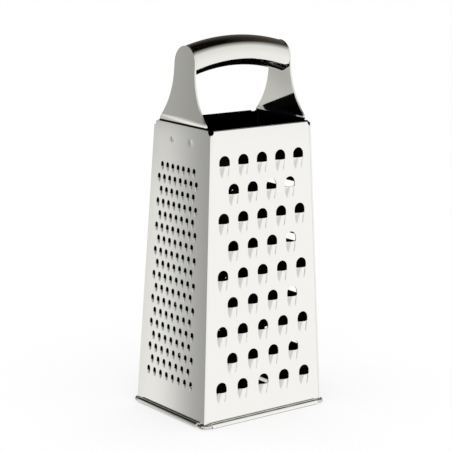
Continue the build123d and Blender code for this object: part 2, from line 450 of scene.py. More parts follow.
@dataclass(frozen=True)
class Dimple(RoundForm):
    """The shallow round dent that a spot weld leaves. It closes in one point at its middle."""

    inner: float = 0.0
    base: float = 2.4
    columns: int = 6
    steps: int = 6
    ring_shares: tuple[float, ...] = (0.0, 0.15, 0.3, 0.45, 0.6, 0.75, 0.9, 1.0)
    depth: float = 0.1
    flat_middle: float = 1.15

    def rise(self, x: Array, y: Array) -> Array:
        """Height over the wall: minus the depth times a smooth fall from the middle to the edge."""
        out = self.flat_middle * np.hypot(x, y) / self.base
        return -self.depth * smooth_step(self.flat_middle - out)


@dataclass(frozen=True)
class CutterRow:
    """One level of cutters: where it lies, its cell's reach, and each cutter with its columns."""

    height: float
    below: float
    above: float
    cutter: Scoop | RoundForm
    centres: tuple[float, ...]
    first_columns: tuple[int, ...]


@dataclass
class PressedPanel:
    """A wall of sheet with rows of cutters, a rolled foot and its own kind of rim.

    The sheet is cut into cells, one to a cutter, whose edges lie on lines that fan out with the
    wall. In a cell the surface goes in rings from the opening to the cell's edge. The outer face is
    the wall's plane plus the cutter's rise, and the inner face lies one sheet further in.
    """

    wall: Wall
    cutter: Scoop | Burr
    rows: int
    long_row: int
    lowest: float
    top_margin: float
    pitch_share: float
    offset: float = 0.0
    staggered: bool = True
    dimple_drop: float = 0.0
    dimple_spacing: float = 0.0
    dimple_cell: float = 1.2
    cut_finish: Finish = Finish.POLISHED
    lap_seat: float = 0.65
    lap_width: float = 6.0
    bend: float = 1.0
    hem_height: float = 3.9
    hem_radius: float = 0.85
    notch_radius: float = 2.6
    notch_depth: float = 2.9
    bead_setback: float = 5.0
    curve_steps: int = 10
    _mesh: SheetMesh = field(default_factory=SheetMesh)

    @property
    def sheet(self) -> float:
        """Thickness of the sheet."""
        return self.wall.body.sheet

    @property
    def half_columns(self) -> int:
        """Column lines between the wall's middle and the last cell's edge."""
        return self.long_row * self.cutter.columns // 2

    @property
    def bottom(self) -> float:
        """Where the plain sheet ends above the wire."""
        return self.wall.body.corner_height / math.cos(self.wall.tilt)

    @property
    def shoulder(self) -> float:
        """Where the flat sheet ends below its rim: at the fold's start, or at a plain rim."""
        return self.wall.rim - (self.hem_radius if self.wall.wide else 0)

    @property
    def margins(self) -> Array:
        """Distances of the margin's column lines from the corner, from the outside inwards."""
        end = self.lap_seat + self.bend if self.wall.wide else 0.0
        turn = np.linspace(math.acos(end / self.notch_radius), 0, self.curve_steps // 2 + 1)
        lines = self.notch_radius * np.cos(turn)
        return lines if self.wall.wide else np.append(lines, self.bead_setback)

    def column(self, number: Array | int, v: Array | float) -> Array | float:
        """Place across the wall of a column line: the offset plus its share of the local pitch."""
        pitch = self.pitch_share * 2 * self.wall.half(v)
        return self.offset + number * pitch / self.cutter.columns

    def lines(self, v: Array) -> Array:
        """Places across the wall of all column lines, from one edge to the other.

        Args:
            v: Heights up the slope.

        Returns:
            Places across, with the shape heights, lines.
        """
        v = np.asarray(v, float)[:, None]
        half = self.wall.half(v)
        middle = self.column(np.arange(-self.half_columns, self.half_columns + 1)[None, :], v)
        margin = half - self.margins[None, :]
        return np.concatenate([-margin, middle, margin[:, ::-1]], axis=1)

    def cutter_rows(self) -> list[CutterRow]:
        """Every row of cutters from the lowest up, and on a side wall its spot welds' dents.

        Returns:
            The rows, with the gap between two rows shared between their cells.
        """
        top = self.wall.body.rim_height - self.top_margin
        below, above = self.cutter.reach
        spare = ((top - self.lowest) / (self.rows - 1) - below - above) / 2
        rows = []
        for number, height in enumerate(np.linspace(self.lowest, top, self.rows)):
            count = self.long_row - (number % 2 if self.staggered else 0)
            places = np.arange(count) - (count - 1) / 2
            pitch = self.pitch_share * 2 * self.wall.half(height)
            firsts = ((places - 1 / 2) * self.cutter.columns).astype(int)
            rows.append(CutterRow(height, below + spare, above + spare, self.cutter,
                                  tuple(self.offset + places * pitch), tuple(firsts)))
        return rows + ([self._dimple_row()] if self.dimple_drop else [])

    def _dimple_row(self) -> CutterRow:
        """The two dents of a handle plate's spot welds, each in the cell nearest to it."""
        dimple = Dimple()
        height = self.wall.rim - self.dimple_drop
        centres = np.array([-0.5, 0.5]) * self.dimple_spacing
        step = self.column(1, height) - self.offset
        firsts = np.round((centres - self.offset) / step - dimple.columns / 2).astype(int)
        reach = dimple.base * self.dimple_cell
        return CutterRow(height, reach, reach, dimple, tuple(centres), tuple(firsts))

    @staticmethod
    def _clear(points: Array) -> Array:
        """Press flat what would reach below the floor, as the foot's narrow land is."""
        points[..., 2] = np.maximum(points[..., 2], 0)
        return points

    def _pair(self, u: Array, v: Array, w: Array | float = 0.0,
              inner: tuple[Array, Array, Array] | None = None, flip: bool = False,
              finishes: tuple[Finish, Finish] = (Finish.POLISHED, Finish.PAINTED_SHADE)) -> None:
        """Add a stretch of sheet, its outer face and its inner face.

        Args:
            u: Places across the wall.
            v: Places up its slope.
            w: The outer face's places outwards.
            inner: Places of the inner face, or none where it lies straight behind the outer one.
            flip: Turn the faces to look the other way.
            finishes: What the outer and the inner face are finished in; by default the inner face
                is near-black painted shade.
        """
        self._mesh.add(self._clear(self.wall.place(u, v, w)), flip, finishes[0])
        inner = inner or (u, v, np.asarray(w) - self.sheet)
        self._mesh.add(self._clear(self.wall.place(*inner)), not flip, finishes[1])

    def _cut(self, u: Array, v: Array | float, flip: bool = False,
             finish: Finish = Finish.POLISHED) -> None:
        """Close the flat sheet's cut edge, from its outer face to its inner face."""
        self._mesh.wall(self.wall.place(u, v, 0), self.wall.place(u, v, -self.sheet), flip, finish)

    def _cell(self, row: CutterRow, centre: float, first: int) -> Array:
        """Add one cutter with the sheet round it, out to its cell's edge.

        Args:
            row: The row it belongs to.
            centre: Its place across the wall.
            first: The column line on its cell's left.

        Returns:
            Heights of the points on the cell's sides, from the lowest up.
        """
        cutter = row.cutter
        x, y = cutter.rings()
        rise = cutter.rise(x, y)
        ahead, behind = cutter.rise(x + SLOPE_STEP, y), cutter.rise(x - SLOPE_STEP, y)
        lean_x = (ahead - behind) / (2 * SLOPE_STEP)
        lean_y = (rise - cutter.rise(x, y - SLOPE_STEP)) / SLOPE_STEP
        size = np.sqrt(1 + lean_x**2 + lean_y**2)

        half = cutter.columns // 2
        side_count = (x.shape[1] + 1) // 2 - 2 * half
        side = y[-1, half:half + side_count]
        spread = (side - side[-1]) / (side[0] - side[-1])
        side = spread * (row.above + row.below) - row.below
        up = np.concatenate([np.full(half, row.above), side, np.full(half, -row.below)])
        over = np.concatenate([np.arange(half), np.full(side_count, half), np.arange(half)[::-1]])
        edge_v = row.height + around(up[None], up[None])
        number = first + half + around(over[None], -over[None])

        u = np.concatenate([centre + x, self.column(number, edge_v)])
        v = np.concatenate([row.height + y, edge_v])
        w = np.concatenate([rise, np.zeros_like(edge_v)])
        pad = np.zeros_like(edge_v)
        shift_u = np.concatenate([lean_x / size, pad]) * self.sheet
        shift_v = np.concatenate([lean_y / size, pad]) * self.sheet
        shift_w = np.concatenate([1 / size, pad + 1]) * self.sheet
        inner = (u + shift_u, v + shift_v, w - shift_w)
        self._pair(u, v, w, inner)
        self._mesh.wall(self.wall.place(*[part[0] for part in inner]),
                        self.wall.place(u[0], v[0], w[0]), finish=self.cut_finish)
        return row.height + side[::-1]

    def _gap(self, heights: Array, first: int, last: int) -> None:
        """Add plain sheet between two column lines of one row."""
        if last > first:
            self._pair(self.lines(heights)[:, first:last + 1], heights[:, None])

    def _face(self) -> Array:
        """Add the flat sheet with all its cutters.

        Returns:
            Heights of the points along the sheet's edges, from the lowest up.
        """
        middle = len(self.margins) + self.half_columns
        edges = [np.array([self.bottom])]
        level = self.bottom
        for row in self.cutter_rows():
            if row.height - row.below > level + WELD_DISTANCE:
                v = np.array([level, row.height - row.below])
                self._pair(self.lines(v), v[:, None])
            last = 0
            for centre, first in zip(row.centres, row.first_columns):
                heights = self._cell(row, centre, first)
                self._gap(heights, last, middle + first)
                last = middle + first + row.cutter.columns
            self._gap(heights, last, 2 * middle)
            edges += [heights]
            level = heights[-1]
        return np.unique(np.round(np.concatenate(edges), 6))

    def _notch(self, distance: Array) -> Array:
        """Where the sheet's top ends at a distance from the corner: an ellipse round the corner."""
        part = np.sqrt(np.clip(1 - (distance / self.notch_radius) ** 2, 0, 1))
        return self.shoulder - (self.notch_depth - (self.wall.rim - self.shoulder)) * part

    def _top(self, level: float) -> None:
        """Add the sheet between the highest row and the rim, with the corner notches cut out.

        Args:
            level: Height of the highest row's top edge.
        """
        u = self.lines(np.array([level, self.shoulder]))
        distance = self.wall.half(self.shoulder) - np.abs(u[1])
        v = np.stack([np.full(u.shape[1], level), self._notch(distance)])
        self._pair(u, v)
        if not self.wall.wide:
            # The rim's cut edge is near black: painted shade.
            self._cut(u[1], v[1], finish=Finish.PAINTED_SHADE)

    def _bend(self, side: int, heights: Array) -> None:
        """Add a lap flange: a quarter round, then flat sheet behind the next wall.

        Args:
            side: Minus one for the left edge and one for the right edge.
            heights: Heights of the sheet's edge points.
        """
        turn = np.linspace(0, math.pi / 2, self.curve_steps // 2 + 1)
        faces = []
        for radius in (self.bend, self.bend - self.sheet):
            out = np.append(radius * np.sin(turn), radius) - self.bend - self.lap_seat
            back = np.append(radius * np.cos(turn) - self.bend, -self.lap_width)
            v = np.concatenate([np.stack([heights] * len(out), axis=1), self._notch(-out)[None]])
            u = side * (self.wall.half(v) + out)
            faces.append((u, v, np.broadcast_to(back, v.shape)))
        self._pair(*faces[0], inner=faces[1], flip=side < 0)
        for edge, flip in ((np.s_[:, -1], side > 0), (-1, side < 0), (0, side > 0)):
            lines = [self.wall.place(*[part[edge] for part in face]) for face in faces]
            self._mesh.wall(*lines, flip)

    def _fold(self, u: Array, profiles: list[Profile], polished: int, flip: bool) -> None:
        """Carry a folded profile along the wall and close its ends and its lip.

        Args:
            u: Places across the wall where the profile stands.
            profiles: Heights and offsets of the profiles that go on from the wall's outer face
                and from its inner face.
            polished: How many lines of the profile are polished steel; the rest are near-black
                painted shade.
            flip: Turn the faces, for a profile that runs down the wall.
        """
        for part, finish in ((slice(None, polished), Finish.POLISHED),
                             (slice(polished - 1, None), Finish.PAINTED_SHADE)):
            outer, inner = ([line[part, None] for line in profile] for profile in profiles)
            self._pair(u[None, :], *outer, inner=(u[None, :], *inner), flip=flip,
                       finishes=(finish, finish))
        for end, turn in ((u[0], not flip), (u[-1], flip)):
            sides = [self._clear(self.wall.place(end, *profile)) for profile in profiles]
            self._mesh.wall(*sides, turn)
        lips = [self._clear(self.wall.place(u, v[-1], w[-1])) for v, w in profiles]
        self._mesh.wall(*lips, flip)

    def _foot(self) -> None:
        """Add the foot, rolled outwards round the wire, and close the sheet's corners beside it.

        The outer face goes straight down and on round a circle of the bead's radius less the sheet,
        and the inner face round the bead's own radius.
        """
        body, tilt = self.wall.body, self.wall.tilt
        centre = (body.bead_centre - body.bead_offset * math.sin(tilt)) / math.cos(tilt)
        lip = math.asin((body.bead_offset - body.bead_lip_gap) / body.bead_radius)
        turn = np.linspace(3 * math.pi / 2, -lip, 3 * self.curve_steps)
        profiles = []
        for radius in (body.bead_radius - self.sheet, body.bead_radius):
            v = np.append(self.bottom, centre + radius * np.cos(turn))
            w = np.append(body.bead_offset - radius, body.bead_offset + radius * np.sin(turn))
            profiles.append((v, w))
        u = self.lines(np.array([self.bottom]))[0]
        skip = len(self.margins) - (0 if self.wall.wide else 1)
        self._fold(u[skip:len(u) - skip], profiles, polished=len(turn), flip=True)
        for part in (u[:skip + 1], u[len(u) - skip - 1:]):
            self._cut(part, self.bottom, True)

    def _hem(self) -> None:
        """Add the rim of a wide wall, folded inwards and down: half a circle, then a flap."""
        turn = np.linspace(math.pi / 2, -math.pi / 2, self.curve_steps)
        profiles = []
        for radius in (self.hem_radius, self.hem_radius - self.sheet):
            v = np.append(self.shoulder + radius * np.cos(turn), self.wall.rim - self.hem_height)
            w = np.append(radius * np.sin(turn), -radius) - self.hem_radius
            profiles.append((v, w))
        u = self.lines(np.array([self.shoulder]))[0]
        skip = len(self.margins) - 1
        self._fold(u[skip:len(u) - skip], profiles, polished=self.curve_steps // 2, flip=False)

    def build(self, name: str) -> bpy.types.Object:
        """Make the whole panel.

        Args:
            name: The piece's name.

        Returns:
            The panel's object.
        """
        heights = self._face()
        self._top(heights[-1])
        if self.wall.wide:
            for side in (-1, 1):
                self._bend(side, heights)
            self._hem()
        else:
            v = np.append(heights, self._notch(np.zeros(1)))
            for column in (0, -1):
                self._cut(self.lines(v)[:, column], v, column == 0)
        self._foot()
        return self._mesh.build(name)


@dataclass(frozen=True)
class HandleSizes:
    """The two side plates, the grip between them and their welds, measured up from the rim."""

    plate: float = 1.2
    plate_edge: float = 0.2
    foot_half_width: float = 24.3
    foot_edge: float = 2.2
    foot_corner: float = 1.5
    neck_rise: float = 35.0
    joggle_start: float = 0.15
    joggle: float = 4.0
    # How far above the rim the plate's near-black painted gap shadow reaches.
    painted_gap_shadow: float = 1.45
    tab_half_width: float = 21.0
    tab_depth: float = 18.0
    tab_corner: float = 3.0
    tab_seat: float = 0.65
    grip_rise: float = 54.0
    camber: float = 4.8
    half_width: float = 10.6
    crown: float = 10.8
    belly: float = 8.2
    wall: float = 1.0
    seat: float = 1.25
    weld_drop: float = 9.7
    weld_spacing: float = 19.0


class Handle:
    """The arched grip, its two side plates and the spot welds that hold them."""

    GRIP_LINES = (65, 97)
    CORNER_STEPS, FLARE_STEPS, DOME_STEPS, PLATE_LINES = 9, 32, 24, 15
    EDGE_STEPS, EDGE_DEGREES = 3, 50.0
    NUGGET_STEPS = 33
    # Radius of a nugget, and its depth behind the wall's plane, from its nose to its button.
    NUGGET = ((0.0, 0.45), (1.2, 0.48), (2.0, 0.55), (2.0, 1.84), (1.7, 1.93), (0.9, 1.99),
              (0.0, 2.0))

    def __init__(self, body: BodySizes, sizes: HandleSizes) -> None:
        """Work out the arch that the grip follows.

        Args:
            body: The body's sizes.
            sizes: The handle's sizes.
        """
        self.body = body
        self.sizes = sizes
        top = body.rim_height + sizes.grip_rise
        self.half_span = body.half_width(top) - sizes.seat
        self.arch = (self.half_span**2 + sizes.camber**2) / (2 * sizes.camber)
        self.axis = top - self.arch

    def grip(self, name: str) -> bpy.types.Object:
        """The hollow bar: half an ellipse above and a flatter one below, swung about an axis.

        Each line along the bar ends where it meets the plate's leaning inner face: there the
        radius times the sine of the swing equals the half width at that height.

        Args:
            name: The piece's name.

        Returns:
            The grip's object.
        """
        sizes = self.sizes
        slope = (self.body.foot_width - self.body.rim_width) / 2 / self.body.rim_height
        reach = self.body.half_width(self.axis) - sizes.seat
        share = np.linspace(-1, 1, self.GRIP_LINES[0])[:, None]
        turn = np.linspace(0, 2 * math.pi, self.GRIP_LINES[1])[None, :]
        faces = []
        for wall in (0.0, sizes.wall):
            height = np.where(np.sin(turn) > 0, sizes.crown, sizes.belly) - wall
            radius = self.arch - sizes.crown + height * np.sin(turn)
            end = np.arcsin(reach / (radius * math.hypot(1, slope))) - math.atan(slope)
            swing = share * end
            y = (sizes.half_width - wall) * np.cos(turn) + 0 * share
            z = self.axis + radius * np.cos(swing)
            faces.append(np.stack([radius * np.sin(swing), y, z], axis=-1))
        mesh = SheetMesh()
        mesh.add(faces[0], True)
        mesh.add(faces[1])
        mesh.wall(faces[0][0], faces[1][0], True)
        mesh.wall(faces[0][-1], faces[1][-1])
        return mesh.build(name)

    def _corner(self, level: float, half_width: float, radius: float) -> Array:
        """A quarter round that starts at a level: heights, and half widths there."""
        turn = np.linspace(0, math.pi / 2, self.CORNER_STEPS)
        return np.array([level + radius * (1 - np.cos(turn)),
                         half_width - radius * (1 - np.sin(turn))])

    def _plate_outline(self, rim: float, slope: float) -> tuple[Array, Array, Array]:
        """Heights and half widths of a side plate from its tab up to its domed end.

        The tab and the foot start with round corners. Above the foot the plate narrows along a
        circle to its neck, and half an ellipse domes its end.

        Args:
            rim: Height of the side wall's rim up the slope.
            slope: Cosine of the side wall's lean.

        Returns:
            Heights up the slope, half widths there, and the share of each that stands over the tab.
        """
        sizes = self.sizes
        tab = self._corner(rim - sizes.tab_depth, sizes.tab_half_width, sizes.tab_corner)
        step = np.array([[rim], [sizes.tab_half_width]])
        foot = self._corner(rim, sizes.foot_half_width, sizes.foot_corner)
        foot_top, neck = rim + sizes.foot_edge, rim + sizes.neck_rise
        inset = sizes.foot_half_width - sizes.half_width
        radius = (inset**2 + (neck - foot_top) ** 2) / (2 * inset)
        v = np.linspace(foot_top, neck, self.FLARE_STEPS)
        flare = np.array([v, sizes.half_width + radius - np.sqrt(radius**2 - (neck - v) ** 2)])
        crown, widest = ((self.axis + math.sqrt(reach**2 - self.half_span**2)) / slope
                         for reach in (self.arch, self.arch - sizes.crown))
        turn = np.linspace(0, math.pi / 2, self.DOME_STEPS)
        dome = np.array([widest + (crown - widest) * np.sin(turn), sizes.half_width * np.cos(turn)])
        v, half = np.concatenate([tab, step, foot, flare[:, 1:], dome[:, 1:]], axis=1)
        lower = np.arange(len(v)) <= self.CORNER_STEPS
        return v, half, np.where(lower, 1, sizes.tab_half_width / foot[1, 0])

    def plate(self, name: str, wall: Wall) -> bpy.types.Object:
        """A side plate: its middle surface, thickened and with its edges rounded.

        The surface lies half a plate behind the wall's plane. At its foot it sinks by the square
        of the way down, until it lies behind the sheet. From the tab up to a little above the rim
        it
        is near black: a painted shadow of the gap between its foot and the wall's rim.

        Args:
            name: The piece's name.
            wall: The wall whose plane the plate lies in.

        Returns:
            The plate's object.
        """
        sizes = self.sizes
        v, half, tab_share = self._plate_outline(wall.rim, math.cos(wall.tilt))
        way = np.clip((v - wall.rim - sizes.joggle_start) / sizes.joggle, 0, 1)
        step = 1 - (1 - way) ** 2
        w = -sizes.plate / 2 - sizes.tab_seat * (1 - step)
        edge = np.ones((len(v), 1))
        share = tab_share[:, None] * np.linspace(-1, 1, self.PLATE_LINES)
        share = np.concatenate([-edge, share, edge], axis=1)
        grid = wall.place(half[:, None] * share, v[:, None], w[:, None])
        # Up to a little above the rim the plate is near black: a painted shadow of the gap over the
        # wall's rim.
        first = int(np.searchsorted(v, wall.rim + sizes.painted_gap_shadow))
        mesh = SheetMesh()
        mesh.add(grid[:first + 1], finish=Finish.PAINTED_SHADE)
        mesh.add(grid[first:])
        piece = mesh.build(name)
        thick = piece.modifiers.new("thickness", "SOLIDIFY")
        thick.thickness = sizes.plate * MM
        thick.offset = 0
        thick.use_even_offset = True
        rounded = piece.modifiers.new("rounded edges", "BEVEL")
        rounded.width = sizes.plate_edge * MM
        rounded.segments = self.EDGE_STEPS
        rounded.limit_method = "ANGLE"
        rounded.angle_limit = math.radians(self.EDGE_DEGREES)
        rounded.harden_normals = True
        return piece

    def nuggets(self, name: str, walls: tuple[Wall, ...]) -> bpy.types.Object:
        """The spot welds: a lens of weld metal from inside the wall to a low button on each tab.

        Args:
            name: The piece's name.
            walls: The walls that have a tab behind them.

        Returns:
            One object with every nugget.
        """
        mesh = SheetMesh()
        turn = np.linspace(0, 2 * math.pi, self.NUGGET_STEPS)
        profile = np.array(self.NUGGET)
        radius, depth = profile[:, :1], profile[:, 1:]
        for wall in walls:
            for side in (-1, 1):
                u = side * self.sizes.weld_spacing / 2 + radius * np.cos(turn)
                v = wall.rim - self.sizes.weld_drop + radius * np.sin(turn)
                mesh.add(wall.place(u, v, -depth + 0 * u), True)
        return mesh.build(name)


@dataclass(frozen=True)
class BaseWire:
    """The ring of wire in the rolled feet, which shows at the four corners."""

    body: BodySizes
    bend: float = 3.0
    corner_steps: int = 12
    around_steps: int = 24

    def build(self, name: str) -> bpy.types.Object:
        """Carry a circle round a rectangle whose corners are quarter circles.

        Args:
            name: The piece's name.

        Returns:
            The wire's object.
        """
        body = self.body
        half_x = body.half_width(body.bead_centre) + body.bead_offset / math.cos(body.side_tilt)
        half_y = body.half_depth(body.bead_centre) + body.bead_offset / math.cos(body.front_tilt)
        quarter = np.linspace(0, math.pi / 2, self.corner_steps + 1)
        turn = np.concatenate([quarter + math.pi / 2 * corner for corner in range(4)] + [[0.0]])
        signs = np.array([(1, 1), (-1, 1), (-1, -1), (1, -1)])
        signs = np.concatenate([np.repeat(signs, self.corner_steps + 1, axis=0), signs[:1]])
        middle = signs * (half_x - self.bend, half_y - self.bend)
        out = np.stack([np.cos(turn), np.sin(turn)], axis=1)
        section = np.linspace(0, 2 * math.pi, self.around_steps + 1)
        reach = (self.bend + body.wire_radius * np.cos(section))[None, :, None]
        flat = middle[:, None, :] + out[:, None, :] * reach
        height = body.bead_centre + body.wire_radius * np.sin(section)
        height = np.broadcast_to(height, flat.shape[:2])
        mesh = SheetMesh()
        mesh.add(np.concatenate([flat, height[..., None]], axis=-1), True)
        return mesh.build(name)


@dataclass(frozen=True)
class PolishedSteel:
    """Stainless steel: a metal whose gloss varies a little with handling and rolling."""

    name: str
    colour: str
    roughness: float
    spread: float
    grain_mm: float
    bump_mm: float

    def material(self) -> bpy.types.Material:
        """A fine grain in the metal's roughness, and a faint waviness in its height.

        Returns:
            The material.
        """
        material = bpy.data.materials.new(self.name)
        tree = empty_tree(material)
        place = add_node(tree, "ShaderNodeTexCoord")
        grain = add_node(tree, "ShaderNodeTexNoise",
                         {"Scale": 1 / (self.grain_mm * MM), "Detail": 3.0},
                         {"Vector": place.outputs["Object"]})
        gloss = add_node(tree, "ShaderNodeMapRange",
                         {"To Min": self.roughness - self.spread,
                          "To Max": self.roughness + self.spread},
                         {"Value": grain.outputs[0]})
        bump = add_node(tree, "ShaderNodeBump", {"Strength": 1.0, "Distance": self.bump_mm * MM},
                        {"Height": grain.outputs[0]})
        shader = add_node(tree, "ShaderNodeBsdfPrincipled",
                          {"Base Color": linear(self.colour), "Metallic": 1.0},
                          {"Roughness": gloss.outputs[0], "Normal": bump.outputs[0]})
        add_node(tree, "ShaderNodeOutputMaterial", links={"Surface": shader.outputs[0]})
        return material


@dataclass(frozen=True)
class StudioCamera:
    """The camera at the photograph's angle, aimed at a point in millimetres."""

    azimuth: float = -37.828
    elevation: float = 12.3235
    roll: float = 0.762
    distance: float = 1078.7
    target: Triple = (-4.263, 0.0, 118.0)
    focal_pixels: float = 1687.5
    image_pixels: float = 452.0
    sensor: float = 36.0

    def build(self) -> None:
        """Place the camera on a sphere round its target, rolled about its own axis."""
        a, e, r = (math.radians(angle) for angle in (self.azimuth, self.elevation, self.roll))
        back = Vector((math.sin(a) * math.cos(e), -math.cos(a) * math.cos(e), math.sin(e)))
        level = Vector((math.cos(a), math.sin(a), 0))
        rise = back.cross(level)
        right = level * math.cos(r) + rise * math.sin(r)
        up = rise * math.cos(r) - level * math.sin(r)
        data = bpy.data.cameras.new("photograph camera")
        data.sensor_width = self.sensor
        data.lens = self.sensor * self.focal_pixels / self.image_pixels
        camera = bpy.data.objects.new("photograph camera", data)
        spot = Matrix.Translation((Vector(self.target) + back * self.distance) * MM)
        camera.matrix_world = spot @ Matrix((right, up, back)).transposed().to_4x4()
        bpy.context.scene.collection.objects.link(camera)
        bpy.context.scene.camera = camera


@dataclass(frozen=True)
class Shade:
    """A part of the sky that polished metal sees darker.

    It is at its level where every one of its slopes is at its start. A slope is a direction, with
    the cosines to it where the slope starts and where it ends in white. Slopes are smooth steps,
    or straight ones.
    """

    level: float
    slopes: tuple[tuple[Triple, float, float], ...]
    straight: bool = False


@dataclass(frozen=True)
class Card:
    """An upright card that only polished metal sees, painted in soft slopes of shade.

    Its azimuth is in degrees from +X. Its sides are in millimetres to the right of its middle, and
    its upper edge is lower by the slant on the right. Each slope has a direction (across, away,
    up), the millimetres along it where it starts and ends, and the colour that it leads to.
    """

    name: str
    azimuth: float
    distance: float
    sides: tuple[float, float]
    heights: tuple[float, float]
    colour: str
    slopes: tuple[tuple[Triple, float, float, str], ...] = ()
    slant: float = 0.0

    def build(self) -> None:
        """Stand the card up and paint it, each slope over what the ones before it gave."""
        turn = math.radians(self.azimuth)
        away = np.array([math.cos(turn), math.sin(turn), 0.0])
        aside = np.array([math.sin(turn), -math.cos(turn), 0.0])
        rise = np.array([0.0, 0.0, 1.0])
        low, high = self.heights
        up = np.array([[low, low], [high, high - self.slant]])[..., None] * rise
        across = np.array(self.sides)[None, :, None] * aside
        mesh = SheetMesh()
        mesh.add(away * self.distance + across + up)
        card = mesh.build(self.name)

        material = bpy.data.materials.new(self.name)
        tree = empty_tree(material)
        place = add_node(tree, "ShaderNodeTexCoord")
        light = add_node(tree, "ShaderNodeEmission", {"Color": linear(self.colour)})
        paint = None
        for direction, start, end, colour in self.slopes:
            axis = aside * direction[0] + away * direction[1] + rise * direction[2]
            along = add_node(tree, "ShaderNodeVectorMath", {1: tuple(axis)},
                             {0: place.outputs["Object"]}, operation="DOT_PRODUCT")
            shade = add_node(tree, "ShaderNodeMapRange",
                             {"From Min": start * MM, "From Max": end * MM},
                             {"Value": along.outputs["Value"]}, interpolation_type="SMOOTHSTEP")
            mix = add_node(tree, "ShaderNodeMix", {"A": linear(self.colour), "B": linear(colour)},
                           {"Factor": shade.outputs[0]}, data_type="RGBA")
            if paint:
                tree.links.new(paint, mix.inputs["A"])
            paint = mix.outputs["Result"]
        if paint:
            tree.links.new(paint, light.inputs["Color"])
        add_node(tree, "ShaderNodeOutputMaterial", links={"Surface": light.outputs[0]})
        card.data.materials.append(material)
        card.visible_camera = False
        card.visible_diffuse = False
        card.visible_shadow = False


UP = (0.0, 0.0, 1.0)
OVERHEAD = (0.352, 0.384, 0.853)
DARK_TOP = ((UP, 210.0, 226.0, "#3F3A34"), (UP, 320.0, 360.0, "#0A0908"))


